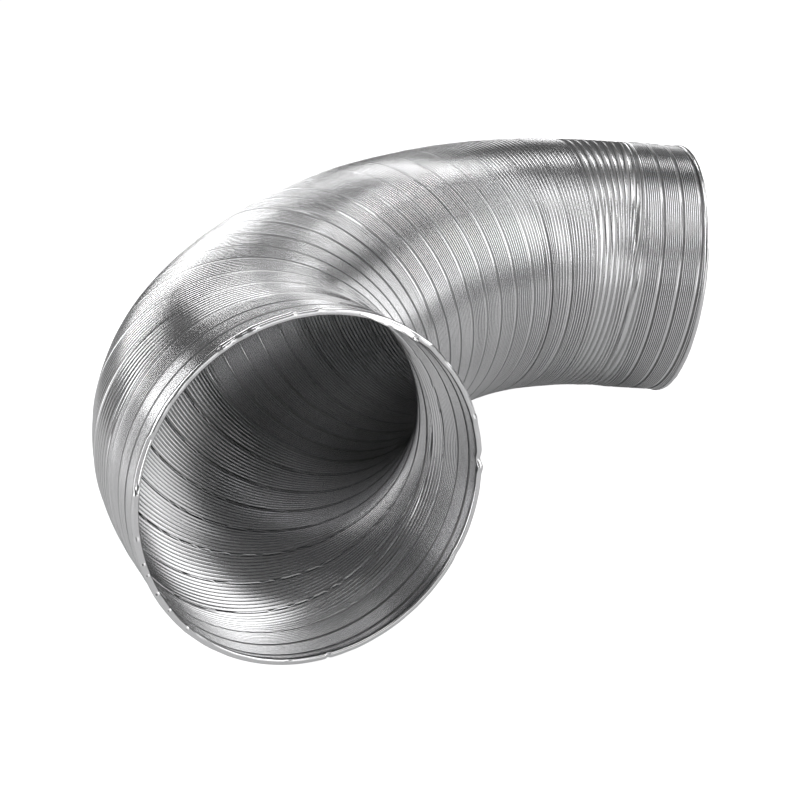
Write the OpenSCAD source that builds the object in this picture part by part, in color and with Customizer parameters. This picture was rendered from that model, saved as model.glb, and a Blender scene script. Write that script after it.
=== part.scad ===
// Flexible round air duct, semi-rigid aluminium, bent through about 110 degrees.
// One corrugated strip is wound edge over edge into a tube. Stiff lock seams and the
// soft pleats between them take turns, so the duct bends and stretches and stays put.
// Millimetres, +Z up. Origin: centre of the front mouth. The duct leaves along +Y,
// and its axis bends towards +X. The duct lies on its belly and its rear end.

/* [Tube] */
// Nominal bore: the smallest inside diameter, which slides over a round spigot
bore_d = 125; // [80:1:200]
// Thickness of the drawn wall
wall = 0.6; // [0.4:0.1:1.2]
// Step where the plain wall of one ring laps the next
lap = 0.1; // [0.05:0.05:0.15]
// Depth that the thinner wall reaches into the wall of the next ring
reach = 0.15; // [0.1:0.05:0.2]
// Height of a rib over the plain wall
rib_h = 1.9; // [1.0:0.1:3.0]
// Length of one wound turn when its ribs are pushed fully together
turn_len = 9.4; // [8:0.1:16]
// Share of a closed rib's pitch that the rib's foot takes up
rib_share = 0.7; // [0.5:0.05:0.8]
// Share of a rib's foot that each sloping flank takes up
flank_share = 0.27; // [0.15:0.01:0.4]

/* [Lock seam] */
// Height of the folded lock seam over the plain wall
seam_h = 1.0; // [0.5:0.1:2.0]
// Share of the seam band's length that the raised fold takes up
seam_share = 0.6; // [0.4:0.05:0.8]

/* [Bends] */
// Sideways bend of the front elbow
bend_front = 28.6; // [0:0.1:40]
// Sideways bend of the second elbow
bend_second = 25.4; // [0:0.1:40]
// Sideways bend of the long middle stretch
bend_middle = 26.0; // [0:0.1:40]
// Sideways bend of the rear elbow
bend_rear = 30.6; // [0:0.1:40]
// Slope of the axis at the front mouth
slope_front = -4.9; // [-10:0.1:10]
// Slope of the axis where the belly rests
slope_belly = 3.0; // [-10:0.1:10]
// Slope of the axis where the duct arches up
slope_arch = 7.8; // [-10:0.1:10]
// Slope of the axis at the rear end
slope_rear = -5.8; // [-10:0.1:10]
// Extra length pulled out of each of the four open ribs before the rear elbow
pull = 5.5; // [0:0.5:8]

/* [Quality] */
// Facets round the preview mesh
facets = 128; // [64:16:256]

/* [Hidden] */
$fn = facets;
ring_per_turn = 5;
turn_count = 25;
ring_count = ring_per_turn * turn_count;
seam_ring = 3;
pulled = [97, 99, 100, 101];
r_in = bore_d / 2;
r_wall = r_in + wall;
r_crest = r_wall + rib_h;
pitch = turn_len / ring_per_turn;
h1 = bend_front;
h2 = h1 + bend_second;
h3 = h2 + bend_middle * 0.39;
h4 = h2 + bend_middle;
h5 = h4 + bend_rear;

// Heading (from +Y towards +X) and slope of the axis, against turns from the front.
function heading(u) =
    lookup(u, [[0, 0], [4, 0], [6.7, h1], [9.7, h2], [14.6, h3], [18.8, h4], [21, h5], [25, h5]]);
function slope(u) =
    lookup(u, [[0, slope_front], [4, slope_front], [6.7, slope_belly], [9.7, slope_arch],
               [14.6, 0.9], [18.8, -1.2], [21, slope_rear], [25, slope_rear]]);
function along(u) =
    [cos(slope(u)) * sin(heading(u)), cos(slope(u)) * cos(heading(u)), sin(slope(u))];

// Ring i runs from turn i/5 to (i+1)/5. Its closed side keeps the closed pitch, so a
// ring that bends is longer on the axis by the wall radius times its own bend.
function is_seam(i) = i % ring_per_turn == seam_ring;
function ring_pull(i) = len(search(i, pulled)) > 0 ? pull : 0;
function ring_bend(i) = let (a = along(i / ring_per_turn), b = along((i + 1) / ring_per_turn))
    2 * asin(min(1, norm(b - a) / 2));
function ring_len(i) = pitch + ring_pull(i) + r_crest * ring_bend(i) * PI / 180;
function step(i) = let (c = along(i / ring_per_turn) + along((i + 1) / ring_per_turn))
    c / norm(c);

// Axis points at the ring borders, from the front mouth to the rear.
points = [for (i = 0, p = [0, 0, 0]; i <= ring_count;
              p = i < ring_count ? p + step(i) * ring_len(i) : p, i = i + 1) p];

// Border planes halve the angle between neighbouring rings.
function border(i) =
    i == 0 ? step(0)
    : i == ring_count ? step(ring_count - 1)
    : let (c = step(i - 1) + step(i)) c / norm(c);

// Each ring is turned so that its own start line meets its neighbour's at the border.
sides = [for (i = 0, x = [0, sin(slope_front), -cos(slope_front)]; i < ring_count;
             x = i + 1 < ring_count ? x - 2 * (x * border(i + 1)) * border(i + 1) : x,
             i = i + 1) x / norm(x)];

// Put the local origin at p, +Z along direction d and +X along x.
module place(p, d, x) {
    y = cross(d, x);
    multmatrix([[x[0], y[0], d[0], p[0]], [x[1], y[1], d[1], p[1]], [x[2], y[2], d[2], p[2]],
                [0, 0, 0, 1]])
        children();
}

// Everything on one side of the border plane in front of ring i, moved by a shift.
module beyond(i, low, high, shift) {
    big = r_crest * 3;
    n = border(i);
    x = cross(n, sides[0]);
    place(points[i], n, cross(x / norm(x), n)) translate([-big / 2, -big / 2, low * big + shift])
        cube([big, big, (high - low) * big]);
}

// Outline of a ring's outer side, up the tube, on a plain wall of radius r. A rib
// rises and falls again; a seam band carries the folded lock, which steps down half way.
function outside(i, r) =
    let (w = rib_share * (pitch + ring_pull(i)), f = flank_share * w, s = seam_share * pitch)
    is_seam(i)
    ? [[r, -s / 2], [r_wall + seam_h, -s / 2], [r_wall + seam_h, s / 4],
       [r_wall + seam_h / 2, s / 4], [r_wall + seam_h / 2, s / 2], [r, s / 2]]
    : [[r, -w / 2], [r_crest, -w / 2 + f], [r_crest, w / 2 - f], [r, w / 2]];

// Outline of its inner side, down the tube. A rib is hollow, a seam band is flat.
function inside(i, r) =
    let (w = rib_share * (pitch + ring_pull(i)), f = flank_share * w, g = w / 2 - wall * 0.45)
    is_seam(i) ? []
    : [[r, g], [r_crest - wall, g - f * 0.7], [r_crest - wall, -g + f * 0.7], [r, -g]];

// Rings first to last, which share one axis, turned as one wall and trimmed by the
// two border planes. The plain wall runs on past the planes so that they cut it all.
// The wall of every second run is a lap thinner on both sides. Where a run is joined to
// another one of its own node, the thinner wall reaches on into the thicker one.
module run(first, last, joined_front, joined_rear) {
    tongue = reach * (first % 2);
    lo = r_in + lap * (first % 2);
    hi = r_wall - lap * (first % 2);
    at = [for (i = first, z = 0; i <= last; z = z + ring_len(i), i = i + 1) z + ring_len(i) / 2];
    end = at[last - first] + ring_len(last) / 2;
    over = (r_crest + 2) * tan(max(ring_bend(first), ring_bend(last)) / 2 + 1) + 0.5;
    difference() {
        place(points[first], step(first), sides[first])
            rotate_extrude()
                polygon(concat(
                    [[lo, -over], [hi, -over]],
                    [for (i = [first:last]) each
                        [for (p = outside(i, hi)) p + [0, at[i - first]]]],
                    [[hi, end + over], [lo, end + over]],
                    [for (i = [last:-1:first]) each
                        [for (p = inside(i, lo)) p + [0, at[i - first]]]]));
        beyond(first, -1, 0, joined_front ? -tongue : 0);
        beyond(last + 1, 0, 1, joined_rear ? tongue : 0);
    }
}

// A length of wall: every run of rings that share one axis, joined at the borders.
module rings(first, last) {
    starts = [for (i = [first:last]) if (i == first || norm(step(i) - step(i - 1)) > 1e-6) i];
    union()
        for (k = [0:len(starts) - 1])
            run(starts[k], k + 1 < len(starts) ? starts[k + 1] - 1 : last, k > 0,
                k + 1 < len(starts));
}

// Straight front end, three turns long, which slides over a spigot.
module front_cuff() {
    color([0.80, 0.81, 0.83]) rings(0, 14);
}

// Soft pleats between two stiff hoops: they fold and open when the duct bends.
module pleats(k) {
    color([0.74, 0.75, 0.77]) rings(10 * k + 5, 10 * k + 11);
}

// Stiff hoop: one lock seam with a rib on each side.
module seam_hoop(k) {
    color([0.66, 0.67, 0.70]) rings(10 * k + 12, 10 * k + 14);
}

// Straight rear end, which slides over the next spigot.
module rear_cuff() {
    color([0.80, 0.81, 0.83]) rings(112, ring_count - 1);
}

front_cuff();
pleats(1);  // pleats_1
seam_hoop(1);  // seam_hoop_1
pleats(2);  // pleats_2
seam_hoop(2);  // seam_hoop_2
pleats(3);  // pleats_3
seam_hoop(3);  // seam_hoop_3
pleats(4);  // pleats_4
seam_hoop(4);  // seam_hoop_4
pleats(5);  // pleats_5
seam_hoop(5);  // seam_hoop_5
pleats(6);  // pleats_6
seam_hoop(6);  // seam_hoop_6
pleats(7);  // pleats_7
seam_hoop(7);  // seam_hoop_7
pleats(8);  // pleats_8
seam_hoop(8);  // seam_hoop_8
pleats(9);  // pleats_9
seam_hoop(9);  // seam_hoop_9
pleats(10);  // pleats_10
rear_cuff();
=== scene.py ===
import math

import bpy
import numpy as np
from mathutils import Matrix, Vector


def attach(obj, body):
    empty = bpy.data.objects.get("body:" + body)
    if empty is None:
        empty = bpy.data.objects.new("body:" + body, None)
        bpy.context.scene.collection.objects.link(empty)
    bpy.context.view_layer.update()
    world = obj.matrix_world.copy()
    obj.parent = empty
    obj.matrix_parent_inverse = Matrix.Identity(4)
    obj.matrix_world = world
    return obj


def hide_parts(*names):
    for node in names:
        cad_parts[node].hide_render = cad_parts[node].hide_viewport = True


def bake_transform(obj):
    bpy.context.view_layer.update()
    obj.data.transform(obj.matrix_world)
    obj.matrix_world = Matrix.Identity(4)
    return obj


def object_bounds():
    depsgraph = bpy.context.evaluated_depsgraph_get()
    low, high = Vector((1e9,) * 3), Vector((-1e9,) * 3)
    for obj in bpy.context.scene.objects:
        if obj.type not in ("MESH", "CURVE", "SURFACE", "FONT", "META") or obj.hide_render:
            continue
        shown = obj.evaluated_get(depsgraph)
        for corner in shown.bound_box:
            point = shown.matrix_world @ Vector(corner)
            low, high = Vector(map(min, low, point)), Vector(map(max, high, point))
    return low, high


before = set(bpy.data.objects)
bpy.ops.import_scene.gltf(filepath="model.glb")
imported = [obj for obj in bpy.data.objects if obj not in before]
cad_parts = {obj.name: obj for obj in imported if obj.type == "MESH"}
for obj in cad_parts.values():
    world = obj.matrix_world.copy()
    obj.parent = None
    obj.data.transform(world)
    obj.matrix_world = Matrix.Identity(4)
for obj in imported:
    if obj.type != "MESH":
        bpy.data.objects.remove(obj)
cad_box = [list(corner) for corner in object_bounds()]


# Front end: the first turns of the duct, straight and closed, which slide over a spigot.
# One corrugated aluminium strip, 0.1 mm thick, is wound edge over edge and its edges are
# folded into a lock seam. Eight fine ribs lie between two laps of the seam.
FRONT_RINGS = 15
BORE_RADIUS = 0.0625
WALL = 0.0006
RIB_HEIGHT = 0.0019
CREST_RADIUS = BORE_RADIUS + WALL + RIB_HEIGHT
CLOSED_TURN = 0.0094
RINGS_PER_TURN = 5
RING_COUNT = 125
PULLED_RINGS = (97, 99, 100, 101)
PULL = 0.0055
AXIS_PARTS = 8

# How the axis turns sideways and climbs, against turns of the closed winding.
BEND_TURNS = [0, 4, 6.7, 9.7, 14.6, 18.8, 21, 25]
HEADINGS = np.radians([0, 0, 28.6, 54.0, 64.14, 80.0, 110.6, 110.6])
SLOPES = np.radians([-4.9, -4.9, 3.0, 7.8, 0.9, -1.2, -5.8, -5.8])

# Length of each lap of the strip along the axis, from seam to seam, as it was pulled open.
LAP_LENGTHS = np.array([8.2, 9.1, 12.0, 20.5, 19.3, 18.5, 15.3, 15.1, 15.0, 15.2, 12.5, 11.6, 12.2,
                        12.9, 14.5, 15.5, 16.3, 17.1, 19.3, 20.3, 18.5, 36.2, 9.6, 9.6, 9.5,
                        9.4]) * 0.001
# Length over which the opening of one lap eases into that of the next.
LAP_SETTLE = 0.006

# The lock seam is a low band. On each side of the wall a slot shows where the edges meet, at
# its own share of the band's width.
SEAM_WIDTH = 0.0017
SEAM_HEIGHT = 0.00045
SEAM_PART = SEAM_WIDTH / CLOSED_TURN
SEAM_SHOULDER = 0.08
OUTER_SLOT, OUTER_SLOT_WIDTH = 0.72, 0.11
INNER_SLOT, INNER_SLOT_WIDTH = 0.30, 0.07
INNER_SLOT_DEPTH = 0.75 * SEAM_HEIGHT

# A rib is tall and narrow while it is closed, and low and wide where the duct is pulled open:
# its height outside and inside, and the share of its width that the crest takes up, by pitch.
RIBS_PER_LAP = 8
RIB_PITCHES = [0.00095, 0.0013, 0.0018, 0.0043]
RIB_HEIGHTS = [0.00105, 0.0007, 0.0005, 0.00014]
RIB_HEIGHTS_INSIDE = [0.00105, 0.0011, 0.0013, 0.0016]
RIB_CREST_SHARES = [0.62, 0.52, 0.42, 0.50]
RIB_FLANK_SHARE = 0.27
RIB_CREST_DROP = 0.10
SHEET = 0.00022

# Hand dents: how many waves are added together, and how deep each one is at most.
DENT_WAVES = 14
DENT_DEPTH = 0.00002
# Columns of points round the tube.
COLUMNS = 144


def along(turn):
    heading = np.interp(turn, BEND_TURNS, HEADINGS)
    slope = np.interp(turn, BEND_TURNS, SLOPES)
    return np.array([math.cos(slope) * math.sin(heading), math.cos(slope) * math.cos(heading),
                     math.sin(slope)])


def unit(vector):
    return vector / np.linalg.norm(vector)


def ring_axis():
    """Axis points and directions at the borders of the closed rings."""
    points, steps = [np.zeros(3)], []
    for ring in range(RING_COUNT):
        before, after = along(ring / RINGS_PER_TURN), along((ring + 1) / RINGS_PER_TURN)
        bend = 2 * math.asin(min(1, np.linalg.norm(after - before) / 2))
        length = CLOSED_TURN / RINGS_PER_TURN + CREST_RADIUS * bend
        if ring in PULLED_RINGS:
            length += PULL
        steps.append(unit(before + after))
        points.append(points[-1] + steps[-1] * length)
    directions = [steps[0]] + [unit(a + b) for a, b in zip(steps, steps[1:])] + [steps[-1]]
    return np.array(points), np.array(directions)


def smooth_axis(points, directions):
    """A dense, smooth axis through the ring borders: places, directions and up vectors."""
    places, headings = [points[0]], [directions[0]]
    for a, b, da, db in zip(points, points[1:], directions, directions[1:]):
        size = np.linalg.norm(b - a)
        for part in range(1, AXIS_PARTS + 1):
            t = part / AXIS_PARTS
            places.append((1 + 2 * t) * (1 - t) ** 2 * a + t * (1 - t) ** 2 * size * da
                          + t * t * (3 - 2 * t) * b + t * t * (t - 1) * size * db)
            headings.append(unit(6 * t * (t - 1) * (a - b) + (1 - t) * (1 - 3 * t) * size * da
                                 + t * (3 * t - 2) * size * db))
    ups = [unit(np.array([0, 0, 1]) - headings[0][2] * headings[0])]
    for a, b, da, db in zip(places, places[1:], headings, headings[1:]):
        chord = unit(b - a)
        up = ups[-1] - 2 * (ups[-1] @ chord) * chord
        turned = da - 2 * (da @ chord) * chord
        mirror = unit(db - turned) if np.linalg.norm(db - turned) > 1e-9 else np.zeros(3)
        ups.append(unit(up - 2 * (up @ mirror) * mirror))
    return np.array(places), np.array(headings), np.array(ups)


AXIS, AXIS_HEADING, AXIS_UP = smooth_axis(*ring_axis())
AXIS_SIDE = np.cross(AXIS_HEADING, AXIS_UP)
AXIS_S = np.concatenate([[0], np.cumsum(np.linalg.norm(np.diff(AXIS, axis=0), axis=1))])
RING_S = AXIS_S[::AXIS_PARTS]
CURVE_EASE = 0.008
CURVE_S = np.linspace(0, AXIS_S[-1], 1601)
CURVE_KERNEL = np.hanning(int(2 * CURVE_EASE / CURVE_S[1]))


def curvature(part):
    """How fast one part of the axis direction changes along the axis, eased over a lap or so."""
    change = np.gradient(np.interp(CURVE_S, AXIS_S, AXIS_HEADING[:, part]), CURVE_S)
    margin = len(CURVE_KERNEL)
    padded = np.pad(change, margin, mode="edge")
    return np.convolve(padded, CURVE_KERNEL / CURVE_KERNEL.sum(), mode="same")[margin:-margin]


CURVE = np.stack([curvature(part) for part in range(3)], -1)

# Laps wound at each place on the axis, with two spare laps past each end. The changes from
# lap to lap are eased.
WOUND_S = np.linspace(-0.01, AXIS_S[-1] + 0.01, 4001)
FIRST_LAP, LAST_LAP = LAP_LENGTHS[0], LAP_LENGTHS[-1]
LAP_ENDS = np.cumsum([-2 * FIRST_LAP, FIRST_LAP, FIRST_LAP, *LAP_LENGTHS, LAST_LAP, LAST_LAP])
WOUND = np.interp(WOUND_S, LAP_ENDS, np.arange(-2, len(LAP_LENGTHS) + 3))
EASE = np.ones(int(LAP_SETTLE / (WOUND_S[1] - WOUND_S[0])))
WOUND = np.pad(WOUND, len(EASE), mode="reflect", reflect_type="odd")
WOUND = np.convolve(WOUND, EASE / len(EASE), mode="same")[len(EASE):-len(EASE)]
LAP_SIZE = np.gradient(WOUND_S, WOUND)


def laps_at(s):
    return np.interp(s, WOUND_S, WOUND)


def lap_length(wound, angle):
    """Length along the wall of a lap at one place: short inside a bend, long outside it."""
    s = np.interp(wound, WOUND, WOUND_S)
    lean = sum(np.interp(s, CURVE_S, CURVE[:, i])
               * (np.cos(angle) * np.interp(s, AXIS_S, AXIS_UP[:, i])
                  + np.sin(angle) * np.interp(s, AXIS_S, AXIS_SIDE[:, i])) for i in range(3))
    return np.interp(wound, WOUND, LAP_SIZE) * np.maximum(1 - lean * CREST_RADIUS, 0.3)


def seam_share(lap, angle):
    """Share of a whole lap that its stiff seam takes up, at one angle round the tube."""
    start = lap - angle / (2 * math.pi)
    whole = sum(lap_length(start + part, angle) for part in (0.1, 0.3, 0.5, 0.7, 0.9)) / 5
    return np.minimum(SEAM_WIDTH / whole, 0.3)


def open_lap(fraction, seam):
    """Place in the lap as it lies, 0 to 1, of a place in the closed lap: the seam stays stiff."""
    return np.where(fraction < SEAM_PART, fraction / SEAM_PART * seam,
                    seam + (fraction - SEAM_PART) / (1 - SEAM_PART) * (1 - seam))


def close_lap(place, seam):
    """The same the other way round: place in the closed lap of a place in the lap as it lies."""
    return np.where(place < seam, place / seam * SEAM_PART,
                    SEAM_PART + (place - seam) / (1 - seam) * (1 - SEAM_PART))


def unevenness(s, angle):
    """Slight dents and waves that hands leave in the soft wall."""
    rng = np.random.default_rng(7)
    total = 0.0
    for _ in range(DENT_WAVES):
        around, runs = rng.integers(1, 7), rng.uniform(20, 190)
        total = total + rng.uniform(0.2, 1) * np.sin(around * angle + runs * s
                                                     + rng.uniform(0, 2 * math.pi))
    return total * DENT_DEPTH


def wall_points(wound, angle, inner=False):
    """Points of the wall at laps `wound` and `angle` from the top, right-handed along the axis."""
    turns = wound + angle / (2 * math.pi)
    lap = np.floor(turns)
    fraction = close_lap(turns - lap, seam_share(lap, angle))
    rib_pitch = (lap_length(wound, angle) - SEAM_WIDTH) / RIBS_PER_LAP
    height = np.interp(rib_pitch, RIB_PITCHES, RIB_HEIGHTS)
    crest = np.interp(rib_pitch, RIB_PITCHES, RIB_CREST_SHARES)
    phase = (fraction - SEAM_PART) / (1 - SEAM_PART) * RIBS_PER_LAP + (0.5 if inner else 0.0)
    phase = phase - np.floor(phase)
    off_crest = np.abs(2 * phase - 1)
    if inner:
        rib = height - 0.5 * (1 - np.cos(2 * math.pi * phase)) * np.interp(
            rib_pitch, RIB_PITCHES, RIB_HEIGHTS_INSIDE)
    else:
        flank = np.clip((off_crest - crest) / RIB_FLANK_SHARE, 0, 1)
        crown = 1 - RIB_CREST_DROP * (off_crest / crest) ** 2
        rib = height * crown * (1 - flank * flank * (3 - 2 * flank))
    across = np.clip(fraction / SEAM_PART, 0, 1)
    if inner:
        seam = INNER_SLOT_DEPTH * np.exp(-((across - INNER_SLOT) / INNER_SLOT_WIDTH) ** 2)
    else:
        groove = np.exp(-((across - OUTER_SLOT) / OUTER_SLOT_WIDTH) ** 2)
        band = np.clip(np.minimum(across, 1 - across) / SEAM_SHOULDER, 0, 1)
        seam = SEAM_HEIGHT * (band - groove)
    s = np.interp(wound, WOUND, WOUND_S)
    radius = (BORE_RADIUS + WALL + (RIB_HEIGHT - height) / 2
              + np.where(fraction < SEAM_PART, seam, rib) + unevenness(s, angle))
    if inner:
        radius = radius - SHEET
    points = np.empty(wound.shape + (3,))
    for i in range(3):
        points[..., i] = np.interp(s, AXIS_S, AXIS[:, i]) + radius * (
            np.cos(angle) * np.interp(s, AXIS_S, AXIS_UP[:, i])
            + np.sin(angle) * np.interp(s, AXIS_S, AXIS_SIDE[:, i]))
    return points


STEP_WOUND, STEP_ANGLE = 0.0015, 0.004


def wall_normals(wound, angle, inner):
    """Outward directions of one side of the wall, from its points a small step either way."""
    ahead, behind = [wall_points(wound + step, angle, inner) for step in (STEP_WOUND, -STEP_WOUND)]
    right, left = [wall_points(wound, angle + step, inner) for step in (STEP_ANGLE, -STEP_ANGLE)]
    normal = np.cross(right - left, ahead - behind)
    normal /= np.linalg.norm(normal, axis=-1, keepdims=True)
    return -normal if inner else normal


# The map of the strip runs along it in turns and across it in laps. The inner side lies apart.
INSIDE_MARK = 10
# Part of a lap next to a cut that is left out, so that no cell becomes a sliver.
SLIVER = 0.0012

# Rows of points across one lap: close together where the folds and the grooves are tight.
OUTER_SEAM = np.array([0, 0.04, 0.09, 0.25, 0.45, 0.54, 0.6, 0.66, 0.72, 0.78, 0.85, 0.92, 0.96])
INNER_SEAM = np.array([0, 0.08, 0.16, 0.21, 0.26, 0.3, 0.34, 0.39, 0.44, 0.6, 0.8])
OUTER_RIB = np.array([0, 0.06, 0.11, 0.16, 0.22, 0.36, 0.5, 0.64, 0.78, 0.84, 0.89, 0.94])
INNER_RIB = np.arange(10) / 10


def lap_rows(seam_rows, rib_rows):
    """Places across the closed lap, 0 to 1, of the rows on its seam and on its eight ribs."""
    ribs = (np.arange(RIBS_PER_LAP)[:, None] + rib_rows).ravel() / RIBS_PER_LAP
    return np.concatenate([SEAM_PART * seam_rows, SEAM_PART + (1 - SEAM_PART) * ribs])


def wall_sheet(low, high, inner):
    """One side of the wall between two cuts: points, normals, places in the strip, faces, ends."""
    lap_row = lap_rows(INNER_SEAM, INNER_RIB) if inner else lap_rows(OUTER_SEAM, OUTER_RIB)
    per_lap = len(lap_row)
    first_lap, last_lap = math.floor(low), math.ceil(high) + 1
    closed = (np.arange(first_lap, last_lap)[:, None] + lap_row[None]).ravel()[:, None]
    angle = np.linspace(0, 2 * math.pi, COLUMNS + 1)[None]
    lap = np.floor(closed + 1e-9)
    wound = lap + open_lap(closed - lap, seam_share(lap, angle)) - angle / (2 * math.pi)
    bottom = (wound <= low + SLIVER).sum(0) - 1
    top = len(closed) - (wound >= high - SLIVER).sum(0)
    rows = np.clip(np.arange(len(closed))[:, None], bottom, top)
    count = top[:COLUMNS] - bottom[:COLUMNS] + 1
    start = np.concatenate([[0], np.cumsum(count)])
    index = np.empty(rows.shape, int)
    index[:, :COLUMNS] = rows[:, :COLUMNS] - bottom[:COLUMNS] + start[:COLUMNS]
    index[:, COLUMNS] = rows[:, COLUMNS] - per_lap - bottom[0]
    column = np.repeat(np.arange(COLUMNS), count)
    row = np.arange(start[-1]) - np.repeat(start[:-1], count) + np.repeat(bottom[:COLUMNS], count)
    wound = wound[row, column]
    wound[row == top[column]] = high
    wound[row == bottom[column]] = low
    angle = angle[0, column]

    # Four corners of every cell. Cells that the cuts close to a line become triangles.
    a, b, c, d = index[:-1, :-1], index[:-1, 1:], index[1:, 1:], index[1:, :-1]
    left, right = a != d, b != c
    quads = np.stack([a, b, c, d], -1)[left & right]
    triangles = np.concatenate([np.stack([a, b, c], -1)[~left & right],
                                np.stack([a, b, d], -1)[left & ~right]])
    turns = wound + angle / (2 * math.pi)
    lap = np.floor(turns)
    place = np.stack([angle / (2 * math.pi) + INSIDE_MARK * inner,
                      lap + close_lap(turns - lap, seam_share(lap, angle))], -1)
    if inner:
        quads, triangles = quads[:, ::-1], triangles[:, ::-1]
    return (wall_points(wound, angle, inner), wall_normals(wound, angle, inner), place,
            quads, triangles, start[:-1], start[1:] - 1)


def wound_wall(name, from_s, to_s):
    """One length of the wall, cut square at two places on the axis, as an object."""
    low, high = laps_at(from_s), laps_at(to_s)
    outer, inner = wall_sheet(low, high, False), wall_sheet(low, high, True)
    total = len(outer[0])
    points, normals = np.concatenate([outer[0], inner[0]]), np.concatenate([outer[1], inner[1]])
    place = np.concatenate([outer[2], inner[2]])
    (low_out, high_out), (low_in, high_in) = outer[5:], [ring + total for ring in inner[5:]]
    ends = np.concatenate([
        np.stack([low_out, low_in, np.roll(low_in, -1), np.roll(low_out, -1)], -1),
        np.stack([high_out, np.roll(high_out, -1), np.roll(high_in, -1), high_in], -1)])
    quads = np.concatenate([outer[3], inner[3] + total])
    triangles = np.concatenate([outer[4], inner[4] + total])
    loops = np.concatenate([quads.ravel(), ends.ravel(), triangles.ravel()])
    sizes = np.repeat([4, 3], [len(quads) + len(ends), len(triangles)])
    starts = np.concatenate([[0], np.cumsum(sizes)[:-1]])

    mesh = bpy.data.meshes.new(name)
    mesh.vertices.add(len(points))
    mesh.vertices.foreach_set("co", points.ravel().astype(np.float32))
    mesh.loops.add(len(loops))
    mesh.loops.foreach_set("vertex_index", loops.astype(np.int32))
    mesh.polygons.add(len(sizes))
    mesh.polygons.foreach_set("loop_start", starts.astype(np.int32))
    mesh.polygons.foreach_set("use_smooth", np.ones(len(sizes), bool))
    mesh.update(calc_edges=True)
    # The seam of the map lies along the top: a cell whose corners straddle it is laid past 1.
    uv = place[loops]
    straddles = np.maximum.reduceat(uv[:, 0], starts) - np.minimum.reduceat(uv[:, 0], starts) > 0.5
    late = np.repeat(straddles, sizes) & (uv[:, 0] % INSIDE_MARK < 0.5)
    uv[late] += 1
    mesh.uv_layers.new(name="strip").data.foreach_set("uv", uv.astype(np.float32).ravel())
    # The two cut faces are flat, and the rest of the wall is smooth.
    loop_normals = normals[loops]
    corners = points[ends]
    flat = np.cross(corners[:, 1] - corners[:, 0], corners[:, 2] - corners[:, 0])
    flat /= np.linalg.norm(flat, axis=1, keepdims=True)
    loop_normals[quads.size:quads.size + ends.size] = np.repeat(flat, 4, axis=0)
    mesh.normals_split_custom_set(loop_normals.tolist())
    piece = bpy.data.objects.new(name, mesh)
    bpy.context.scene.collection.objects.link(piece)
    return piece


class Socket:
    """A shader socket that takes part in Python sums, differences and products."""

    def __init__(self, material, link):
        self.material, self.link = material, link

    def math(self, operation, *others):
        return self.material.node("ShaderNodeMath", {"operation": operation}, self, *others)

    def __add__(self, other):
        return self.math("ADD", other)

    def __sub__(self, other):
        return self.math("SUBTRACT", other)

    def __mul__(self, other):
        return self.math("MULTIPLY", other)

    def __rsub__(self, other):
        return self.material.node("ShaderNodeMath", {"operation": "SUBTRACT"}, other, self)

    __radd__, __rmul__ = __add__, __mul__


class Finish:
    """A material whose nodes are all made by one method."""

    def __init__(self, name):
        self.material = bpy.data.materials.new(name)
        self.material.use_nodes = True
        self.tree = self.material.node_tree
        self.surface = self.tree.nodes["Principled BSDF"]

    def node(self, kind, settings, *values, out=0, **named):
        made = self.tree.nodes.new(kind)
        for key, value in settings.items():
            setattr(made, key, value)
        for socket, value in [*enumerate(values), *named.items()]:
            self.feed(made.inputs[socket], value)
        return Socket(self, made.outputs[out])

    def feed(self, socket, value):
        if isinstance(value, Socket):
            self.tree.links.new(value.link, socket)
        else:
            socket.default_value = value


# Painted shade: how much the base colour is darkened in the valleys between ribs, more on the inner
# side, and painted shadow in the seam slots.
VALLEY_SHADE, VALLEY_SHADE_INSIDE, SLOT_SHADOW = 0.60, 0.15, 0.75
SLOT_REACH = 0.30


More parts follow.
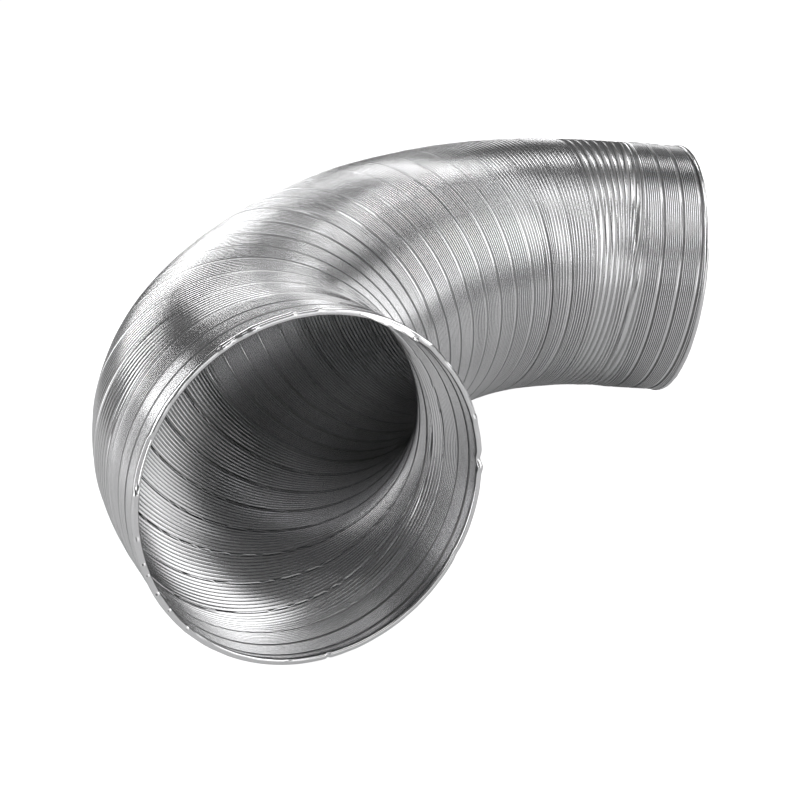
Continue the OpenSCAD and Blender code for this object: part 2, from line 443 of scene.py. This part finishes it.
def rolled_aluminium(name, base, roughness):
    """Rolled strip: bright metal with fine lines along it, and painted shade darkening the folds."""
    finish = Finish(name)
    strip = finish.node("ShaderNodeUVMap", {"uv_map": "strip"})
    around = finish.node("ShaderNodeSeparateXYZ", {}, strip, out="X")
    across_lap = finish.node("ShaderNodeSeparateXYZ", {}, strip, out="Y").math("FRACT")
    inside = around.math("GREATER_THAN", INSIDE_MARK / 2)
    # Painted shade: the base colour is darkened in the valleys between ribs, more on the inner side.
    rib = (across_lap - SEAM_PART) * (RIBS_PER_LAP / (1 - SEAM_PART)) + 0.5 * inside
    valley_shade = 0.5 + 0.5 * (rib * (2 * math.pi)).math("COSINE")
    valley_shade = valley_shade * valley_shade * across_lap.math("GREATER_THAN", SEAM_PART)
    # Painted shadow: a dark line along each seam slot, in the base colour.
    off_slot = across_lap * (1 / SEAM_PART) + (OUTER_SLOT - INNER_SLOT) * inside - OUTER_SLOT
    slot_shadow = (1 - off_slot.math("ABSOLUTE") * (1 / SLOT_REACH)).math("MAXIMUM", 0.0)
    painted_shade = valley_shade * (VALLEY_SHADE + VALLEY_SHADE_INSIDE * inside) + SLOT_SHADOW * slot_shadow

    place = finish.node("ShaderNodeTexCoord", {}, out="Object")
    lines = finish.node("ShaderNodeMapping", {}, strip, Scale=(1.5, 48.0, 1.0))
    grain = finish.node("ShaderNodeTexNoise", {}, Vector=lines, Scale=1.0, Detail=2.0)
    sheen = finish.node("ShaderNodeTexNoise", {}, Vector=place, Scale=14.0, Detail=2.0)
    finish.feed(finish.surface.inputs["Roughness"],
                roughness + 0.04 * (sheen - 0.5) + 0.06 * (grain - 0.5) + 0.15 * painted_shade)
    # Where the painted shade mask is high, the base colour darkens to 0.15 of itself; the grain adds
    # random tone.
    shade = finish.node("ShaderNodeMix", {"data_type": "RGBA"}, out=2, Factor=painted_shade + 0.06 * grain)
    shade.link.node.inputs[6].default_value = (*base, 1)
    shade.link.node.inputs[7].default_value = (*[0.15 * part for part in base], 1)
    finish.feed(finish.surface.inputs["Base Color"], shade)
    bump = finish.node("ShaderNodeBump", {}, Strength=0.05, Distance=0.00003, Height=grain)
    finish.feed(finish.surface.inputs["Normal"], bump)
    finish.feed(finish.surface.inputs["Metallic"], 1.0)
    return finish.material


ALUMINIUM = rolled_aluminium("aluminium_strip", (0.88, 0.88, 0.89), 0.22)

# The wall stops short of the cut edge, where the folded lip takes over.
LIP_DEPTH = 0.0013
front = wound_wall("front_cuff_wall", RING_S[0] + LIP_DEPTH, RING_S[FRONT_RINGS])
front.data.materials.append(ALUMINIUM)
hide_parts("front_cuff")
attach(front, "front_end")


# Front lip: the raw edge of the last lap, trimmed square with shears and pressed back over
# the ribs. It is a little wavy, has nicks and crumples where the shears stopped, and stands
# open as a narrow slit on one side.
LIP_SHEET = 0.00016
LIP_COLUMNS = 900
CREST_PLACE = SEAM_PART + (1 - SEAM_PART) * 3.5 / RIBS_PER_LAP
# Across the lip, from the outside over the edge to the inside: height over the bore and depth
# behind the cut, in millimetres.
LIP_PROFILE = [(2.10, 2.1), (2.32, 1.5), (2.38, 0.95), (2.30, 0.5), (2.10, 0.18), (1.80, 0.02),
               (1.45, -0.04), (1.05, -0.05), (0.72, 0.0), (0.48, 0.16), (0.38, 0.45), (0.42, 0.9),
               (0.60, 1.9)]
# Angle from the top and width in degrees, rise and forward push in millimetres.
FRONT_DENTS = [(355.5, 0.9, 0.25, 0.15), (3.5, 0.9, 0.30, 0.15), (332.5, 1.2, 0.15, 0.45),
               (337.0, 1.5, -0.15, -0.55), (343.0, 1.5, 0.20, 0.45), (44.5, 2.2, 0.25, 0.50),
               (52.0, 3.0, -0.20, -0.30), (76.0, 1.2, 0.15, 0.40), (90.3, 1.5, -0.50, -0.80),
               (93.6, 1.2, 0.25, 0.50), (124.0, 2.0, -0.15, -0.35), (281.5, 1.0, 0.15, 0.50),
               (269.0, 1.6, -0.20, -0.45), (259.0, 0.5, 0.05, 0.40), (255.0, 0.5, 0.05, 0.35),
               (248.0, 0.6, 0.05, 0.45), (241.0, 0.5, 0.05, 0.35), (232.0, 0.6, 0.05, 0.40),
               (194.0, 0.7, 0.10, -0.30), (180.0, 0.5, -0.45, -0.60)]
LIP_WAVES = 16
LIP_RISE, LIP_PUSH = 0.00007, 0.00013
SLIT_DEPTH = 0.0016


def edge_waves(angle, seed):
    """Uneven waves that the shears leave in a cut edge, from -1 to 1."""
    rng = np.random.default_rng(seed)
    waves = 0
    for _ in range(LIP_WAVES):
        size, count = rng.uniform(0.3, 1), rng.integers(5, 60)
        waves = waves + size * np.sin(count * angle + rng.uniform(0, 2 * math.pi))
    return waves / np.abs(waves).max()


def degrees_from(angle, place):
    """Degrees from a place round the tube, from -180 to 180."""
    return (np.degrees(angle) - place + 180) % 360 - 180


def lip_points(angle, profile, at_s, inward, dents, slit, seed):
    """Points of a folded edge at one end. `inward` is 1 at the front end and -1 at the rear.

    The slit, given by its place and half its width in degrees, is where the fold stands open.
    """
    height, depth = [np.array(part)[:, None] * 0.001 for part in zip(*profile)]
    middle = np.exp(-((height - 0.0013) / 0.0009) ** 2)
    rise = LIP_RISE * edge_waves(angle, seed)
    push = LIP_PUSH * edge_waves(angle, seed + 1)
    for place, width, up, forward in dents:
        bump = np.exp(-(degrees_from(angle, place) / width) ** 2)
        rise, push = rise + 0.001 * up * bump, push + 0.001 * forward * bump
    open_slit = 1 / (1 + np.exp((np.abs(degrees_from(angle, slit[0])) - slit[1]) / 0.4))
    height = height + rise * (0.3 + 0.7 * height / height.max())
    depth = depth - push * np.exp(-depth / 0.0012) + SLIT_DEPTH * open_slit * middle
    s = at_s + inward * depth
    radius = BORE_RADIUS + height
    points = np.empty(radius.shape + (3,))
    for i in range(3):
        points[..., i] = np.interp(s, AXIS_S, AXIS[:, i]) + (s - np.clip(s, 0, AXIS_S[-1])) * (
            np.interp(s, AXIS_S, AXIS_HEADING[:, i])) + radius * (
            np.cos(angle) * np.interp(s, AXIS_S, AXIS_UP[:, i])
            + np.sin(angle) * np.interp(s, AXIS_S, AXIS_SIDE[:, i]))
    return points


def folded_edge(name, points, closed, flip):
    """A thin sheet through rows of points, given its thickness, as an object."""
    rows, columns = points.shape[:2]
    around = columns if closed else columns - 1
    faces = []
    for row in range(0, (rows - 1) * columns, columns):
        for column in range(around):
            beside = (column + 1) % columns
            faces.append((row + column, row + beside, row + columns + beside, row + columns + column))
    if flip:
        faces = [face[::-1] for face in faces]
    mesh = bpy.data.meshes.new(name)
    mesh.from_pydata(points.reshape(-1, 3).tolist(), [], faces)
    layer = mesh.uv_layers.new(name="strip").data
    for face, polygon in zip(faces, mesh.polygons):
        polygon.use_smooth = True
        first = min(corner % columns for corner in face)
        for loop, corner in zip(polygon.loop_indices, face):
            column = corner % columns
            column += columns if closed and column - first > 1 else 0
            layer[loop].uv = (column / LIP_COLUMNS, CREST_PLACE)
    piece = bpy.data.objects.new(name, mesh)
    bpy.context.scene.collection.objects.link(piece)
    bpy.ops.object.select_all(action="DESELECT")
    bpy.context.view_layer.objects.active = piece
    piece.select_set(True)
    solid = piece.modifiers.new("sheet", "SOLIDIFY")
    solid.thickness, solid.offset = LIP_SHEET, -1.0
    bpy.ops.object.modifier_apply(modifier=solid.name)
    piece.data.materials.append(ALUMINIUM)
    return piece


LIP_ANGLES = np.linspace(0, 2 * math.pi, LIP_COLUMNS, endpoint=False)[None]
FRONT_SLIT = (291.5, 8.0)
FRONT_SEED = 3
lip = lip_points(LIP_ANGLES, LIP_PROFILE, 0.0, 1, FRONT_DENTS, FRONT_SLIT, FRONT_SEED)
front_lip = folded_edge("front_lip", lip, True, False)
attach(front_lip, "front_end")

# Its loose end: the corner of the strip, folded over the lip as a bright little tab.
TAB_PROFILE = [(1.55, -0.14), (1.25, -0.26), (0.90, -0.48), (0.50, -0.74), (0.12, -0.95),
               (-0.10, -0.96), (-0.16, -0.72), (-0.02, -0.30), (0.16, 0.25)]
TAB_FROM, TAB_TO = 17.0, 39.0
TAB_ROOT = 9.0
TAB_DENTS = [(38.4, 0.8, -0.30, 0.55), (27.0, 1.6, 0.12, 0.10), (22.0, 1.2, -0.10, 0.08)]
NO_SLIT = (180.0, -20.0)
tab_angles = np.radians(np.linspace(TAB_FROM, TAB_TO, 90))[None]
tab_points = lip_points(tab_angles, TAB_PROFILE, 0.0, 1, TAB_DENTS, NO_SLIT, 11)
lip_crown = [(1.55, -0.10)] * len(TAB_PROFILE)
lip_below = lip_points(tab_angles, lip_crown, 0.0, 1, [], NO_SLIT, FRONT_SEED)
rooted = np.clip((np.degrees(tab_angles[0]) - TAB_FROM) / TAB_ROOT, 0, 1)[None, :, None]
tab_points = lip_below + (tab_points - lip_below) * (0.15 + 0.85 * rooted)
tab = folded_edge("strip_end_tab", tab_points, False, False)
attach(tab, "front_end")


# Pleated lengths and the stiff hoops between them: the same strip further along. A pleated
# length folds and opens when the duct bends; here it is baked in place and joins no body.
# A hoop is the lap of one lock seam, four sheets thick, and keeps its shape.
CUT_RADIUS = CREST_RADIUS + 0.0005
for k in range(1, 11):
    first, last = 10 * k + 5, 10 * k + 11
    pleats = wound_wall(f"pleats_{k}_wall", RING_S[first], RING_S[last + 1])
    pleats.data.materials.append(ALUMINIUM)
    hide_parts(f"pleats_{k}")
    # The bend makes the two cut faces lean towards each other on its inner side. The ends of a
    # turn between the leaning faces are worked out below but not used.
    cuts = [first * AXIS_PARTS, (last + 1) * AXIS_PARTS]
    centre, forward = AXIS[cuts].mean(0), unit(AXIS_HEADING[cuts].sum(0))
    lean = CUT_RADIUS * np.sqrt(np.maximum(1 - (AXIS_HEADING[cuts] @ forward) ** 2, 0))
    start, end = centre + ((AXIS[cuts] - centre) @ forward + lean * (1, -1))[:, None] * forward
    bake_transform(pleats)
    if k < 10:
        hoop = wound_wall(f"seam_hoop_{k}_wall", RING_S[last + 1], RING_S[last + 4])
        hoop.data.materials.append(ALUMINIUM)
        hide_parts(f"seam_hoop_{k}")
        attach(hoop, f"hoop_{k}")


# Rear end: the last turns, closed again, which slide over the next spigot. Its edge is cut and
# pressed back like the front one.
REAR_FIRST_RING = 112
rear = wound_wall("rear_cuff_wall", RING_S[REAR_FIRST_RING], RING_S[RING_COUNT] - LIP_DEPTH)
rear.data.materials.append(ALUMINIUM)
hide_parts("rear_cuff")
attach(rear, "rear_end")

REAR_DENTS = [(20.0, 1.2, 0.05, 0.20), (61.0, 1.5, -0.10, -0.20), (151.0, 1.8, -0.10, -0.20),
              (205.0, 0.7, 0.05, 0.15), (318.0, 0.6, -0.15, -0.25)]
REAR_SLIT = (250.0, 4.0)
REAR_SEED = 5
lip = lip_points(LIP_ANGLES, LIP_PROFILE, AXIS_S[-1], -1, REAR_DENTS, REAR_SLIT, REAR_SEED)
rear_lip = folded_edge("rear_lip", lip, True, True)
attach(rear_lip, "rear_end")


# Studio: a white floor and a white surround, a grey tent that the camera looks through and
# the soft boxes inside it. The metal mirrors the tent, the boxes and the floor.
STUDIO_CENTRE, STUDIO_REACH = (0.1, 0.09, 0.0), 1.3


def soft_light(name, elevation, azimuth, width, height, radiance):
    """A soft box aimed at the duct. Azimuth 0 stands in front of the mouth."""
    level = math.cos(elevation)
    away = Vector((math.sin(azimuth) * level, -math.cos(azimuth) * level, math.sin(elevation)))
    lamp = bpy.data.lights.new(name, "AREA")
    lamp.shape, lamp.size, lamp.size_y = "RECTANGLE", width, height
    lamp.energy = radiance * math.pi * width * height
    box = bpy.data.objects.new(name, lamp)
    box.location = Vector(STUDIO_CENTRE) + STUDIO_REACH * away
    box.rotation_mode = "QUATERNION"
    box.rotation_quaternion = (-away).to_track_quat("-Z", "Y")
    box.visible_camera = False
    bpy.context.scene.collection.objects.link(box)


# Name, elevation and azimuth in degrees, width and height in metres, brightness of the cloth.
SOFT_BOXES = [("key", 31, 60, 1.50, 0.85, 1.70), ("left_low", 13, 289, 0.72, 0.90, 2.40),
              ("top", 78, 22, 1.26, 0.55, 1.70), ("front_low", 8, 13, 1.08, 0.60, 1.00),
              ("back", 18, 165, 0.90, 0.26, 1.70), ("left", 34, 253, 0.45, 0.61, 4.50),
              ("back_low", 6, 173, 0.38, 0.40, 3.90), ("right_back", 50, 136, 0.33, 0.26, 4.00)]
for name, elevation, azimuth, width, height, radiance in SOFT_BOXES:
    soft_light(name, math.radians(elevation), math.radians(azimuth), width, height, radiance)

bpy.ops.object.select_all(action="DESELECT")
bpy.ops.mesh.primitive_plane_add(size=8, location=(0.1, 0.1, cad_box[0][2]))
floor = bpy.context.object
floor.name = "floor"
paper = Finish("white_paper")
seen = paper.node("ShaderNodeLightPath", {}, out="Is Camera Ray")
mirrored = paper.node("ShaderNodeLightPath", {}, out="Is Glossy Ray")
paper.feed(paper.surface.inputs["Base Color"], (0.68, 0.68, 0.68, 1))
paper.feed(paper.surface.inputs["Roughness"], 0.9)
paper.feed(paper.surface.inputs["Emission Color"], (1, 1, 1, 1))
paper.feed(paper.surface.inputs["Emission Strength"], 0.95 * seen + 0.05 * mirrored)
floor.data.materials.append(paper.material)

bpy.ops.mesh.primitive_uv_sphere_add(segments=64, ring_count=32, radius=3, location=STUDIO_CENTRE)
tent = bpy.context.object
tent.name = "tent"
cloth = Finish("tent_cloth")
cloth.feed(cloth.surface.inputs["Base Color"], (0, 0, 0, 1))
cloth.feed(cloth.surface.inputs["Specular IOR Level"], 0.0)
cloth.feed(cloth.surface.inputs["Emission Color"], (1, 1, 1, 1))
cloth.feed(cloth.surface.inputs["Emission Strength"], 0.08)
tent.data.materials.append(cloth.material)
tent.visible_camera = False

world = bpy.data.worlds.new("studio")
bpy.context.scene.world = world
world.use_nodes = True
world.node_tree.nodes["Background"].inputs["Color"].default_value = (1, 1, 1, 1)
world.node_tree.nodes["Background"].inputs["Strength"].default_value = 1.0


# Camera: above the front mouth and to its left.
camera_data = bpy.data.cameras.new("camera")
camera_data.lens, camera_data.sensor_width = 58.29, 36
camera_data.clip_start, camera_data.clip_end = 0.01, 20
camera = bpy.data.objects.new("camera", camera_data)
bpy.context.scene.collection.objects.link(camera)
camera.matrix_world = Matrix(((0.89865, 0.17233, -0.4034, -0.14929),
                              (-0.43866, 0.35606, -0.8251, -0.36941),
                              (0.00144, 0.91844, 0.39557, 0.20617),
                              (0, 0, 0, 1)))
bpy.context.scene.camera = camera
bpy.context.scene.view_settings.view_transform = "Standard"
